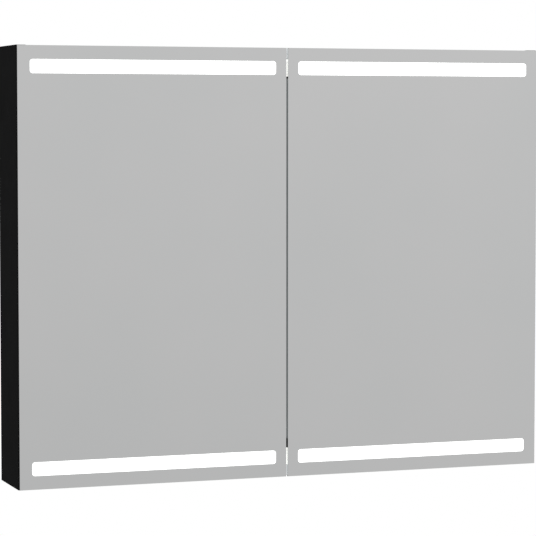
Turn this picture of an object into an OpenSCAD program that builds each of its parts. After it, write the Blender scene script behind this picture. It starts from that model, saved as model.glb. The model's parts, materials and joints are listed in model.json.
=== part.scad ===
// Wall-hung bathroom cabinet with two mirror doors, lit from behind through opal strips.
// Millimetres. The origin is the middle of the four wall screws, on the wall.
// +X runs to the right, +Y into the wall and +Z up, so the doors face -Y.

/* [Cabinet] */
// Overall width, across the side panels
cab_w = 900; // [760:10:1200]
// Overall height of the side panels
cab_h = 703; // [580:1:900]
// Overall depth, from the wall to the face of the mirrors
cab_d = 124; // [118:1:180]
// Thickness of the side panels
side_t = 16; // [14:0.5:20]
// Thickness of the top and bottom panels
deck_t = 12; // [11:0.5:18]
// Thickness of the centre partition
partition_t = 16; // [14:0.5:20]
// Thickness of the back panel
back_t = 4; // [3:0.5:6]
// Depth of the hollow behind the back panel, where the hangers sit
back_recess = 16; // [16:0.5:22]
// How far the top and bottom panels sit inside the ends of the side panels
deck_reveal = 1; // [0:0.5:3]

/* [Doors] */
// Thickness of each of the two mirror panes of a door
pane_t = 3; // [2.5:0.5:4]
// Gap between the two doors
door_gap = 3; // [2:0.5:6]
// How far a door stops short of each end of the side panels
door_reveal = 0.7; // [0.5:0.1:3]
// How far a door's outer edge stops short of the cabinet's side
edge_reveal = 0.5; // [0.2:0.1:2]
// Clearance between the doors and the front edges of the case
door_clear = 1; // [0.8:0.1:2]

/* [Light] */
// Height of the aluminium rail at the top and at the bottom
rail_h = 18; // [14:1:24]
// Height of the opal cover next to the rail
opal_h = 28; // [24:1:36]
// Thickness of the opal covers
opal_t = 3; // [2:0.5:4]
// Sheet thickness of the light trays and service covers
sheet_t = 1.5; // [1:0.1:2]
// Depth of the light trays
tray_d = 42; // [30:1:50]
// Height of a lit strip in the mirror
strip_h = 22; // [14:1:24]
// Distance from the end of a door to the strip
strip_inset = 21.8; // [18:0.1:30]
// Mirror left between a strip and the outer edge of its door
strip_margin_out = 20.4; // [12:0.1:60]
// Mirror left between a strip and the gap between the doors
strip_margin_in = 17.8; // [12:0.1:60]
// Corner radius of the strips
strip_r = 4; // [1:0.5:8]

/* [Shelves] */
// Thickness of the glass shelves
shelf_t = 5; // [4:0.5:8]
// Room left between the front of a shelf and the doors
shelf_setback = 15; // [10:1:30]
// Pitch of the rows of shelf pin holes
pin_pitch = 32; // [25:1:40]
// Radius of a shelf pin
pin_r = 2.5; // [2:0.25:3]

/* [Hinges] */
// Distance from the end of a door to the middle of its hinge
hinge_inset = 105; // [95:1:150]
// Fixed pivot of the outer link: distance in from the side panel
pivot_a_in = 28; // [28:0.1:28.5]
// Fixed pivot of the outer link: distance behind the door
pivot_a_back = 5.5; // [5.5:0.1:6]
// Fixed pivot of the inner link: distance in from the side panel
pivot_c_in = 48; // [47.5:0.1:48.5]
// Fixed pivot of the inner link: distance behind the door
pivot_c_back = 20.3; // [20:0.1:21]
// Door pivot of the outer link: distance in from the side panel
pivot_b_in = 4.4; // [4.3:0.1:4.6]
// Door pivot of the outer link: distance behind the door
pivot_b_back = 10.9; // [10.8:0.1:11]
// Door pivot of the inner link: distance in from the side panel
pivot_d_in = 5; // [4.9:0.1:5.2]
// Door pivot of the inner link: distance behind the door
pivot_d_back = 16.9; // [16.8:0.1:17]
// Radius of the hinge pins
hinge_pin_r = 1.5; // [1.2:0.1:1.6]
// Play of the inner link's eye round the door pin
eye_play = 0.8; // [0.75:0.05:0.9]

/* [Wall fixing] */
// Height of the cabinet's top above the middle of the wall screws
mount_drop = 100; // [80:1:140]
// Distance between the two wall plates
plate_spacing = 760; // [500:5:1000]
// Distance between the two screws of one wall plate
screw_spacing = 28; // [24:1:40]
// Radius of the holes for the wall screws
screw_hole_r = 3.25; // [2.5:0.25:4]
// Radius of the hole for the mains cable
cable_r = 5; // [4:0.5:7]

/* [Hidden] */
$fn = 48;
fit = 0.1;
snug = 0.2;
slit = 0.5;

door_t = 2 * pane_t;
y_front = -cab_d;
y_door_back = y_front + door_t;
y_case = y_door_back + door_clear;
y_back = -back_recess;
y_back_face = y_back - back_t;

z_top = mount_drop;
z_bottom = z_top - cab_h;
z_mid = (z_top + z_bottom) / 2;
x_side = cab_w / 2;
x_inner = x_side - side_t;
inner_w = 2 * x_inner;
bay_w = (inner_w - partition_t) / 2;

case_setback = 5;
partition_setback = 1.5;
rail_d = 12;
rail_wall = 1.5;
y_rail = y_case + case_setback;
y_partition = y_case + partition_setback;
y_deck = y_rail + rail_d;
box_h = deck_reveal + rail_h + opal_h + sheet_t;
z_box = z_top - box_h;
y_tray = y_rail + tray_d;
groove_d = 4;

door_w = x_side - edge_reveal - door_gap / 2;
door_h = cab_h - 2 * door_reveal;
inner_pane_h = cab_h - 2 * (box_h + 4);
door_x = door_gap / 2 + door_w / 2;
strip_w = door_w - strip_margin_out - strip_margin_in;
strip_x = door_gap / 2 + strip_margin_in + strip_w / 2;
strip_z = door_h / 2 - strip_inset - strip_h / 2;
lens_lip = 3;
lens_lip_t = 1.2;

led_board_t = 1.6;
led_pitch = 30;
led_w = 5;
led_t = 1.2;

shelf_d = y_back_face - slit - (y_case + shelf_setback);
shelf_w = bay_w - 2 * slit;
shelf_zone = cab_h - 2 * box_h;
shelf_levels = [-1 / 6, 1 / 6];
pin_reach = 8;
pin_hole_d = 9;
pin_rows = [y_case + shelf_setback + 18, y_back_face - 18];

cam_r = 7.5;
cam_h = 10;
cam_in = 34;
cam_bolt_r = 3;
cam_bolt_grip = 11;
cam_rows = [y_deck + 14, y_back_face - 16];

catch_places = [-70, 70];
catch_x = -partition_t / 2 - snug;
catch_w = 13;

hinge_z = door_h / 2 - hinge_inset;
pin_clear = 0.05;
link_r = 3.5;
eye_proud = 0.5;
eye_r = hinge_pin_r + eye_play + 1.6;
layer_in = 0.5;
layer_t = 5.5;
ear_t = 2;
layer_out = layer_in + layer_t + 0.5;
hinge_half_h = layer_out + ear_t;
arm_v = door_t + 34;
arm_len = 32;
arm_w = 14;
base_t = 2.5;
plate_start = side_t + 2.5;
plate_len = 42;
plate_t = 1.2;
a_uv = [side_t + pivot_a_in, door_t + pivot_a_back];
b_uv = [side_t + pivot_b_in, door_t + pivot_b_back];
c_uv = [side_t + pivot_c_in, door_t + pivot_c_back];
d_uv = [side_t + pivot_d_in, door_t + pivot_d_back];

wall_t = 2;
wall_w = 60;
wall_half_h = screw_spacing / 2 + 10;
lip_y = 8;
lip_h = 10;
bracket_t = 2;
bracket_w = 50;
bracket_top = wall_half_h + wall_t + lip_h + 8;
jack_r = 2.5;

grommet_r = cable_r + 3;
grommet_x = -60;
grommet_z = z_top - box_h / 2;
service_y = y_tray + snug;

switch_x = 300;
switch_y = y_tray + 16;
switch_w = 30;
switch_d = 22;
switch_tilt = 7;
switch_wall = 2;
switch_axle_r = 1.2;
switch_axle_z = -1.5;

duct_w = 14;
duct_wall = 1.5;

case_grey = "#1b1b1c";
mirror_grey = "#c4c8ca";
opal_white = "#f6f7f5";
steel_grey = "#a9adb0";
rail_grey = "#d3d5d6";
glass_green = "#b5d2c8";
plastic_grey = "#4a4c4e";

// A box given by its low and high corners.
module block(low, high) {
    translate(low)
        cube(high - low);
}

// A flat bar from point p to point q, with a round eye at each end. The bar is a little
// narrower than its eyes.
module bar2d(p, q, r) {
    along = q - p;
    neck = r - eye_proud;
    translate(p)
        rotate(atan2(along[1], along[0]))
            translate([0, -neck])
                square([norm(along), 2 * neck]);
    for (end = [p, q])
        translate(end)
            circle(r);
}

// A rectangle with round corners, centred.
module round_rect(w, h, r) {
    square([w - 2 * r, h], center = true);
    square([w, h - 2 * r], center = true);
    for (sx = [-1, 1])
        for (sz = [-1, 1])
            translate([sx * (w / 2 - r), sz * (h / 2 - r)])
                circle(r);
}

// Stands a flat shape up in the XZ plane, from y = 0 back to y = t.
module upright(t) {
    rotate([90, 0, 0])
        mirror([0, 0, 1])
            linear_extrude(t)
                children();
}

// Keeps a piece for side = -1 (left) and turns it over for side = 1 (right).
module on_side(side) {
    mirror([side > 0 ? 1 : 0, 0, 0])
        children();
}

// Turns a piece of the cabinet's upper half over into its lower half, for end = -1.
module on_end(end) {
    translate([0, 0, z_mid])
        mirror([0, 0, end < 0 ? 1 : 0])
            translate([0, 0, -z_mid])
                children();
}

// ---- Case ----

// Drills the three holes for each shelf pin, going in along +X from the face at x.
module pin_holes(x) {
    for (level = shelf_levels)
        for (step = [-1:1])
            for (y = pin_rows)
                translate([x - slit, y, z_mid + level * shelf_zone + step * pin_pitch - pin_r])
                    rotate([0, 90, 0])
                        cylinder(r = pin_r + fit, h = pin_hole_d + slit);
}

// A left side panel. The holes for the cam bolts and the groove for the back are on its inside.
module side_panel() {
    difference() {
        block([-x_side, y_case, z_bottom], [-x_inner, 0, z_top]);
        block([-x_inner - groove_d, y_back_face - fit, z_bottom - 1], [1 - x_inner, y_back + fit, z_top + 1]);
        mirror([1, 0, 0])
            pin_holes(x_inner);
        for (end = [-1, 1])
            on_end(end)
                for (y = cam_rows)
                    translate([-x_inner - cam_bolt_grip - slit, y, z_top - deck_reveal - deck_t / 2])
                        rotate([0, 90, 0])
                            cylinder(r = cam_bolt_r - fit, h = cam_bolt_grip + 2 * slit);
    }
}

// The top panel, with pockets for the cams and a groove for the back panel.
module deck() {
    z_under = z_top - deck_reveal - deck_t;
    difference() {
        block([-x_inner, y_deck, z_under], [x_inner, 0, z_top - deck_reveal]);
        block([-x_inner - 1, y_back_face - fit, z_under - 1], [x_inner + 1, y_back + fit, z_under + groove_d]);
        for (side = [-1, 1])
            for (y = cam_rows) {
                translate([side * (x_inner - cam_in), y, z_under - 1])
                    cylinder(r = cam_r + fit, h = cam_h + 1);
                translate([side * (x_inner - cam_in), y, z_under + deck_t / 2])
                    rotate([0, side * 90, 0])
                        cylinder(r = cam_bolt_r + snug, h = cam_in + 1);
            }
    }
}

module side_panel_left() {
    color(case_grey) side_panel();
}

module side_panel_right() {
    color(case_grey) on_side(1) side_panel();
}

module top_panel() {
    color(case_grey) deck();
}

module bottom_panel() {
    color(case_grey) on_end(-1) deck();
}

// The back panel slides into the grooves. It has a round hole for the cable grommet.
module back_panel() {
    reach = groove_d - snug;
    z_deck = z_top - deck_reveal - deck_t;
    color(plastic_grey)
        difference() {
            block(
                [-x_inner - reach, y_back_face, 2 * z_mid - z_deck - reach],
                [x_inner + reach, y_back, z_deck + reach]
            );
            translate([grommet_x, y_back_face - 1, grommet_z])
                rotate([-90, 0, 0])
                    cylinder(r = grommet_r, h = back_t + 2);
        }
}

// The partition stands between the two light boxes, with pin holes in both faces.
module centre_partition() {
    color(case_grey)
        difference() {
            block(
                [-partition_t / 2, y_partition, 2 * z_mid - z_box],
                [partition_t / 2, y_back_face, z_box]
            );
            for (side = [-1, 1])
                on_side(side)
                    translate([-partition_t / 2 + pin_hole_d / 2 + slit, 0, 0])
                        partition_holes();
        }
}

// Blind pin holes in one face of the partition. They stop short of its middle.
module partition_holes() {
    depth = partition_t / 2 - slit;
    for (level = shelf_levels)
        for (step = [-1:1])
            for (y = pin_rows)
                translate([
                    -pin_hole_d / 2 - 2 * slit,
                    y,
                    z_mid + level * shelf_zone + step * pin_pitch - pin_r
                ])
                    rotate([0, 90, 0])
                        cylinder(r = pin_r + fit, h = depth + slit);
}

// One lock disc in the top panel, with a hole through which its bolt comes in.
module cam_lock(side, y) {
    z_under = z_top - deck_reveal - deck_t;
    x = side * (x_inner - cam_in);
    difference() {
        translate([x, y, z_under])
            cylinder(r = cam_r, h = cam_h);
        translate([x, y, z_under + deck_t / 2])
            rotate([0, side * 90, 0])
                cylinder(r = cam_bolt_r + snug, h = cam_r + 1);
        translate([x - cam_r, y - 0.8, z_under - 1])
            cube([2 * cam_r, 1.6, 2]);
    }
}

module cam_locks() {
    color(steel_grey)
        for (end = [-1, 1])
            on_end(end)
                for (side = [-1, 1])
                    for (y = cam_rows)
                        cam_lock(side, y);
}

// The bolts run from the side panels into the cams.
module cam_bolts() {
    color(steel_grey)
        for (end = [-1, 1])
            on_end(end)
                for (side = [-1, 1])
                    for (y = cam_rows)
                        translate([side * (x_inner - cam_in + 1), y, z_top - deck_reveal - deck_t / 2])
                            rotate([0, side * 90, 0]) {
                                cylinder(r = cam_bolt_r, h = cam_in - 1 - slit);
                                cylinder(r = cam_bolt_r - 2 * fit, h = cam_in - 1 + cam_bolt_grip);
                            }
}

// ---- Light boxes ----

// A hollow aluminium rail along the front of the top panel.
module rail() {
    z_rail = z_top - deck_reveal;
    difference() {
        block([-x_inner, y_rail, z_rail - rail_h], [x_inner, y_deck, z_rail]);
        block(
            [-x_inner - 1, y_rail + rail_wall, z_rail - rail_h + rail_wall],
            [x_inner + 1, y_deck - rail_wall, z_rail - rail_wall]
        );
    }
}

module top_rail() {
    color(rail_grey) rail();
}

module bottom_rail() {
    color(rail_grey) on_end(-1) rail();
}

// A folded sheet: a floor under the light and a wall behind it, up to the top panel.
module light_tray() {
    block([-x_inner, y_rail, z_box], [x_inner, y_tray, z_box + sheet_t]);
    block([-x_inner, y_tray - sheet_t, z_box], [x_inner, y_tray, z_top - deck_reveal - deck_t]);
}

module top_light_tray() {
    color(case_grey) light_tray();
}

module bottom_light_tray() {
    color(case_grey) on_end(-1) light_tray();
}

// The opal cover stands between the rail and the tray's floor, with a foot along its back.
module light_cover() {
    block(
        [-x_inner + slit, y_rail, z_box + sheet_t],
        [x_inner - slit, y_rail + opal_t, z_box + sheet_t + opal_h]
    );
    block(
        [-x_inner + slit, y_rail, z_box + sheet_t],
        [x_inner - slit, y_rail + 3 * opal_t, z_box + sheet_t + opal_t / 2]
    );
}

module top_light_cover() {
    color(opal_white) light_cover();
}

module bottom_light_cover() {
    color(opal_white) on_end(-1) light_cover();
}

// A circuit board on the tray's wall, with a row of light emitting chips facing the cover.
module led_strip() {
    board_h = 12;
    z = z_box + sheet_t + opal_h / 2;
    y = y_tray - sheet_t;
    half = x_inner - 20;
    count = floor((half - led_w) / led_pitch);
    block([-half, y - led_board_t, z - board_h / 2], [half, y, z + board_h / 2]);
    for (i = [-count:count])
        translate([i * led_pitch - led_w / 2, y - led_board_t - led_t, z - led_w / 2])
            cube([led_w, led_t + slit, led_w]);
}

module top_led_strip() {
    color("#e9e4c8") led_strip();
}

module bottom_led_strip() {
    color("#e9e4c8") on_end(-1) led_strip();
}

// Screw places along a service cover, near its back edge.
function screw_places() = [for (side = [-1, 1]) for (f = [0.12, 0.5, 0.88]) side * f * x_inner];

// A removable plate that closes the room behind the light tray.
module service_cover() {
    difference() {
        block([-x_inner + slit, service_y, z_box], [x_inner - slit, y_back_face, z_box + sheet_t]);
        for (x = screw_places())
            translate([x, y_back_face - 8, z_box - 1])
                cylinder(r = 1.7, h = sheet_t + 2);
        block([duct_x() - fit, y_back_face - duct_w - fit, z_box - 1],
            [duct_x() + duct_w + fit, y_back_face + 1, z_box + sheet_t + 1]);
    }
}

function duct_x() = partition_t / 2 + slit;

module top_service_cover() {
    color(case_grey) service_cover();
}

// The lower cover also has the cut-out for the light switch.
module bottom_service_cover() {
    color(case_grey)
        difference() {
            on_end(-1) service_cover();
            block(
                [switch_x - switch_w / 2 - snug, switch_y - switch_d / 2 - snug, z_bottom],
                [switch_x + switch_w / 2 + snug, switch_y + switch_d / 2 + snug, z_bottom + box_h + 1]
            );
        }
}

// Screws with round heads, which hold the service covers.
module service_screws() {
    color(steel_grey)
        for (end = [-1, 1])
            on_end(end)
                for (x = screw_places())
                    translate([x, y_back_face - 8, z_box]) {
                        translate([0, 0, -1.6])
                            cylinder(r = 3, h = 1.6);
                        cylinder(r = 1.5, h = 9);
                    }
}

// The power supply of the lights hangs under the top panel, behind the tray.
module led_driver() {
    z_under = z_top - deck_reveal - deck_t;
    w = 160;
    x = -x_inner + 90;
    y_low = y_tray + 4;
    y_high = y_back_face - 4;
    color("#dfe1e2") {
        block([x, y_low, z_under - 22], [x + w, y_high, z_under]);
        for (ear = [x - 12, x + w])
            block([ear, y_low + 8, z_under - 3], [ear + 12, y_high - 8, z_under]);
    }
}

// A row of screw terminals, next to the place where the mains cable comes in.
module terminal_block() {
    z_under = z_top - deck_reveal - deck_t;
    ways = 3;
    pitch = 10;
    x = grommet_x + 30;
    y = y_tray + 12;
    color("#e6e3da")
        difference() {
            block([x, y, z_under - 17], [x + ways * pitch, y + 20, z_under]);
            for (i = [0:ways - 1])
                for (dy = [5, 15])
                    translate([x + (i + 0.5) * pitch, y + dy, z_under - 18])
                        cylinder(r = 2, h = 7);
        }
}

// A rubber bush in the back panel, for the mains cable.
module cable_grommet() {
    color("#2a2a2a")
        translate([grommet_x, 0, grommet_z])
            rotate([-90, 0, 0])
                difference() {
                    union() {
                        translate([0, 0, y_back_face])
                            cylinder(r = grommet_r - fit, h = back_t);
                        for (y = [y_back_face - 2, y_back])
                            translate([0, 0, y])
                                cylinder(r = grommet_r + 2.5, h = 2);
                    }
                    translate([0, 0, y_back_face - 3])
                        cylinder(r = cable_r, h = back_t + 6);
                }
}

// A closed channel that takes the low voltage wires down to the bottom light.
module wiring_duct() {
    z_low = 2 * z_mid - z_box - 6;
    z_high = z_box + 6;
    y = y_back_face - duct_w;
    color(plastic_grey)
        difference() {
            block([duct_x(), y, z_low], [duct_x() + duct_w, y_back_face, z_high]);
            block(
                [duct_x() + duct_wall, y + duct_wall, z_low - 1],
                [duct_x() + duct_w - duct_wall, y_back_face - duct_wall, z_high + 1]
            );
        }
}

// The frame of the light switch, let into the lower service cover.
module switch_housing() {
    rim = 2;
    color("#1c1c1c")
        translate([switch_x, switch_y, z_bottom + box_h])
            difference() {
                union() {
                    block([-switch_w / 2, -switch_d / 2, -16], [switch_w / 2, switch_d / 2, 0]);
                    block(
                        [-switch_w / 2 - rim, -switch_d / 2 - rim, 0],
                        [switch_w / 2 + rim, switch_d / 2 + rim, 1.5]
                    );
                }
                block(
                    [-switch_w / 2 + switch_wall, -switch_d / 2 + switch_wall, -12],
                    [switch_w / 2 - switch_wall, switch_d / 2 - switch_wall, 2]
                );
                translate([0, -switch_d / 2 - 1, switch_axle_z])
                    rotate([-90, 0, 0])
                        cylinder(r = switch_axle_r + pin_clear, h = switch_d + 2);
            }
}

// The rocker, tilted to its off side, with an axle along Y that turns in the frame.
module switch_rocker() {
    long = switch_w - 2 * switch_wall - 2;
    wide = switch_d - 2 * switch_wall - 1;
    dish_r = 44;
    top = 5;
    color("#26282a")
        translate([switch_x, switch_y, z_bottom + box_h + switch_axle_z])
            rotate([0, switch_tilt, 0]) {
                difference() {
                    block([-long / 2, -wide / 2, -2], [long / 2, wide / 2, top]);
                    translate([0, -wide / 2 - 1, top - 1.5 + dish_r])
                        rotate([-90, 0, 0])
                            cylinder(r = dish_r, h = wide + 2, $fn = 96);
                }
                translate([0, -switch_d / 2 + slit, 0])
                    rotate([-90, 0, 0])
                        cylinder(r = switch_axle_r, h = switch_d - 2 * slit);
            }
}

// ---- Shelves ----

// A glass shelf. bay is -1 for the left and 1 for the right, level counts from the bottom.
module shelf(bay, level) {
    x_mid = bay * (partition_t / 2 + bay_w / 2);
    duct_room = bay > 0 ? duct_w + 2 : 0;
    z = z_mid + shelf_levels[level] * shelf_zone;
    color(glass_green)
        difference() {
            block(
                [x_mid - shelf_w / 2, y_back_face - slit - shelf_d, z],
                [x_mid + shelf_w / 2, y_back_face - slit, z + shelf_t]
            );
            block(
                [0, y_back_face - duct_w - 2, z - 1],
                [partition_t / 2 + duct_room, y_back_face + 1, z + shelf_t + 1]
            );
        }
}

module shelf_lower_left() {
    shelf(-1, 0);
}

module shelf_lower_right() {
    shelf(1, 0);
}

module shelf_upper_left() {
    shelf(-1, 1);
}

module shelf_upper_right() {
    shelf(1, 1);
}

// One pin, which sticks out along +X from a panel's face at x = 0. The shelf lies on its top.
module shelf_pin(depth) {
    translate([-depth, 0, -pin_r])
        rotate([0, 90, 0])
            cylinder(r = pin_r, h = depth + pin_reach);
    translate([0, 0, -pin_r])
        rotate([0, 90, 0])
            cylinder(r = pin_r, h = 1.5);
}

module shelf_pins() {
    partition_depth = partition_t / 2 - 2 * slit;
    color(steel_grey)
        for (level = shelf_levels)
            for (y = pin_rows)
                for (side = [-1, 1])
                    on_side(side)
                        translate([0, y, z_mid + level * shelf_zone]) {
                            translate([-x_inner, 0, 0])
                                shelf_pin(pin_hole_d - slit);
                            translate([-partition_t / 2, 0, 0])
                                mirror([1, 0, 0])
                                    shelf_pin(partition_depth - slit);
                        }
}

// ---- Doors ----

// The front pane of the left door: a mirror with two round-cornered cut-outs for the lenses.
module front_mirror() {
    color(mirror_grey)
        translate([-door_x, y_front, z_mid])
            upright(pane_t)
                difference() {
                    square([door_w, door_h], center = true);
                    for (end = [-1, 1])
                        translate([door_x - strip_x, end * strip_z])
                            round_rect(strip_w, strip_h, strip_r);
                }
}

module front_mirror_left() {
    front_mirror();
}

module front_mirror_right() {
    on_side(1) front_mirror();
}

// The inner pane is bonded to the front one, between the light boxes.
module inner_mirror() {
    color(mirror_grey)
        translate([-door_x, y_front + pane_t, z_mid])
            upright(pane_t)
                square([door_w, inner_pane_h], center = true);
}

module inner_mirror_left() {
    inner_mirror();
}

module inner_mirror_right() {
    on_side(1) inner_mirror();
}

// Opal lenses, flush with the mirror, with a lip bonded to the back of the pane.
module light_lenses() {
    color(opal_white)
        for (end = [-1, 1])
            translate([-strip_x, y_front, z_mid + end * strip_z]) {
                upright(pane_t)
                    round_rect(strip_w - 2 * fit, strip_h - 2 * fit, strip_r - fit);
                translate([0, pane_t, 0])
                    upright(lens_lip_t)
                        round_rect(strip_w + 2 * lens_lip, strip_h + 2 * lens_lip, strip_r + lens_lip);
            }
}

module light_lenses_left() {
    light_lenses();
}

module light_lenses_right() {
    on_side(1) light_lenses();
}

// Clear pads on the back of the left door, which meet the partition.
module door_bumpers() {
    pad_r = 2.5;
    color("#dfe6e6")
        for (end = [-1, 1])
            translate([-partition_t / 4 - door_gap / 4, y_door_back, z_mid + end * (inner_pane_h / 2 - 12)])
                rotate([-90, 0, 0])
                    cylinder(r = pad_r, h = door_clear + partition_setback - snug);
}

module door_bumpers_left() {
    door_bumpers();
}

module door_bumpers_right() {
    on_side(1) door_bumpers();
}

// Thin steel plates on the back of the left door, facing the magnets.
module catch_plates() {
    color(steel_grey)
        for (z = catch_places)
            block(
                [catch_x - catch_w, y_door_back, z_mid + z - 18],
                [catch_x - 1, y_door_back + 0.8, z_mid + z + 18]
            );
}

module catch_plates_left() {
    catch_plates();
}

module catch_plates_right() {
    on_side(1) catch_plates();
}

// Magnets in plastic cases, on both faces of the partition.
module magnet_catches() {
    color("#e4e4e2")
        for (side = [-1, 1])
            on_side(side)
                for (z = catch_places)
                    block(
                        [-partition_t / 2 - catch_w, y_partition, z_mid + z - 22],
                        [-partition_t / 2, y_partition + 12, z_mid + z + 22]
                    );
}

// ---- Hinges ----
// Each hinge is drawn on the left, in plan: u runs in from the cabinet's side, v back from
// the mirror's face. Outer links lie in the upper layer and inner links in the lower one.

// Places a piece at both hinges of the left door.
module at_hinges() {
    for (end = [-1, 1])
        translate([-x_side, y_front, z_mid + end * hinge_z])
            children();
}

// Places a piece at all four hinges.
module at_all_hinges() {
    for (side = [-1, 1])
        on_side(side)
            at_hinges()
                children();
}

// A pin through one layer and its ear. up is 1 for the upper layer, -1 for the lower.
module hinge_pin(uv, up) {
    mirror([0, 0, up < 0 ? 1 : 0])
        translate([uv[0], uv[1], 0.2])
            cylinder(r = hinge_pin_r, h = hinge_half_h - 0.2);
}

// A layer of the hinge, from z = low, t thick, above or below the middle.
module layer(up, low, t) {
    mirror([0, 0, up < 0 ? 1 : 0])
        translate([0, 0, low])
            linear_extrude(t)
                children();
}

// Plates screwed to the side panels.
module hinge_base_plates() {
    color(steel_grey)
        at_all_hinges()
            difference() {
                block([side_t, arm_v - 4, -18], [side_t + base_t, arm_v + arm_len + 4, 18]);
                for (z = [-13, 13])
                    translate([side_t - 1, arm_v + arm_len / 2, z])
                        rotate([0, 90, 0])
                            cylinder(r = 2.2, h = base_t + 2);
            }
}

module hinge_screws() {
    color(steel_grey)
        at_all_hinges()
            for (z = [-13, 13])
                translate([side_t + base_t, arm_v + arm_len / 2, z])
                    rotate([0, 90, 0])
                        cylinder(r = 3.6, h = 1.8);
}

// The arm: a body on the base plate, with one cheek for each fixed pivot.
module hinge_arms() {
    root_a = [side_t + base_t + arm_w - 4, arm_v + 8];
    root_c = [side_t + base_t + arm_w - 4, arm_v + 14];
    color(steel_grey)
        at_all_hinges()
            difference() {
                union() {
                    block(
                        [side_t + base_t, arm_v, -hinge_half_h],
                        [side_t + base_t + arm_w, arm_v + arm_len, hinge_half_h]
                    );
                    layer(1, layer_out, ear_t)
                        bar2d(a_uv, root_a, link_r);
                    layer(-1, layer_out, ear_t)
                        bar2d(c_uv, root_c, link_r);
                }
                for (p = [a_uv, c_uv])
                    translate([p[0], p[1], -hinge_half_h - 1])
                        cylinder(r = hinge_pin_r, h = 2 * hinge_half_h + 2);
            }
}

module hinge_arm_pins() {
    color(steel_grey)
        at_all_hinges() {
            hinge_pin(a_uv, 1);
            hinge_pin(c_uv, -1);
        }
}

// Plates bonded to the inner pane, with an ear for each door pivot.
module hinge_door_plates() {
    foot = door_t + plate_t / 2;
    color(steel_grey)
        at_hinges() {
            block([plate_start, door_t, -20], [plate_start + plate_len, door_t + plate_t, 20]);
            difference() {
                union() {
                    layer(1, layer_out, ear_t)
                        ear2d(b_uv, foot);
                    layer(-1, layer_out, ear_t)
                        ear2d(d_uv, foot);
                }
                for (p = [b_uv, d_uv])
                    translate([p[0], p[1], -hinge_half_h - 1])
                        cylinder(r = hinge_pin_r, h = 2 * hinge_half_h + 2);
            }
        }
}

// An ear from the door plate to a pivot, kept on the inner side of the plate's outer edge.
module ear2d(p, foot) {
    left = max(p[0] - link_r, plate_start);
    translate([left, foot])
        square([p[0] + link_r - left, p[1] - foot]);
    translate(p)
        circle(link_r);
}

module hinge_door_plates_left() {
    hinge_door_plates();
}

module hinge_door_plates_right() {
    on_side(1) hinge_door_plates();
}

module hinge_door_pins() {
    color(steel_grey)
        at_hinges() {
            hinge_pin(b_uv, 1);
            hinge_pin(d_uv, -1);
        }
}

module hinge_door_pins_left() {
    hinge_door_pins();
}

module hinge_door_pins_right() {
    on_side(1) hinge_door_pins();
}

// The outer link turns on its pins with a running fit.
module outer_links() {
    color(steel_grey)
        at_hinges()
            layer(1, layer_in, layer_t)
                difference() {
                    bar2d(a_uv, b_uv, link_r);
                    for (p = [a_uv, b_uv])
                        translate(p)
                            circle(hinge_pin_r + pin_clear);
                }
}

module outer_links_left() {
    outer_links();
}

module outer_links_right() {
    on_side(1) outer_links();
}

// The inner link has a running fit on the arm's pin and a wide eye on the door's pin.
module inner_links() {
    color(steel_grey)
        at_hinges()
            layer(-1, layer_in, layer_t)
                difference() {
                    union() {
                        bar2d(c_uv, d_uv, link_r);
                        translate(d_uv)
                            circle(eye_r);
                    }
                    translate(c_uv)
                        circle(hinge_pin_r + pin_clear);
                    translate(d_uv)
                        circle(hinge_pin_r + eye_play);
                }
}

module inner_links_left() {
    inner_links();
}

module inner_links_right() {
    on_side(1) inner_links();
}

// ---- Wall fixing ----

// Places a piece at both hangers.
module at_hangers() {
    for (side = [-1, 1])
        translate([side * plate_spacing / 2, 0, 0])
            children();
}

// Plates screwed to the wall, each with a lip for the cabinet's bracket to hook over.
module wall_plates() {
    shelf_z = wall_half_h;
    color(steel_grey)
        at_hangers()
            difference() {
                union() {
                    block([-wall_w / 2, -wall_t, -wall_half_h], [wall_w / 2, 0, shelf_z + wall_t]);
                    block([-wall_w / 2, -lip_y - wall_t, shelf_z], [wall_w / 2, -wall_t, shelf_z + wall_t]);
                    block(
                        [-wall_w / 2, -lip_y - wall_t, shelf_z],
                        [wall_w / 2, -lip_y, shelf_z + wall_t + lip_h]
                    );
                }
                for (z = [-1, 1])
                    translate([0, -wall_t - 1, z * screw_spacing / 2])
                        rotate([-90, 0, 0])
                            cylinder(r = screw_hole_r, h = wall_t + 2);
            }
}

// Brackets on the back panel, each with a lip that drops behind the wall plate's lip.
module hanger_brackets() {
    y_root = y_back + bracket_t;
    drop_y = -lip_y + 2.5;
    color(steel_grey)
        at_hangers()
            difference() {
                union() {
                    block([-bracket_w / 2, y_back, -12], [bracket_w / 2, y_root, bracket_top]);
                    block(
                        [-bracket_w / 2, y_root, bracket_top - bracket_t],
                        [bracket_w / 2, drop_y + bracket_t, bracket_top]
                    );
                    block(
                        [-bracket_w / 2, drop_y, wall_half_h + wall_t + 3],
                        [bracket_w / 2, drop_y + bracket_t, bracket_top]
                    );
                }
                translate([0, -lip_y - wall_t / 2, bracket_top - bracket_t - 1])
                    cylinder(r = jack_r + fit, h = bracket_t + 2);
            }
}

// The height screws stand on the wall plates' lips.
module hanger_screws() {
    tip = wall_half_h + wall_t + lip_h;
    color(steel_grey)
        at_hangers()
            translate([0, -lip_y - wall_t / 2, tip]) {
                cylinder(r = jack_r, h = bracket_top + 3 - tip);
                translate([0, 0, bracket_top + 3 - tip])
                    cylinder(r = jack_r + 1.5, h = 2.5);
            }
}

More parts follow.
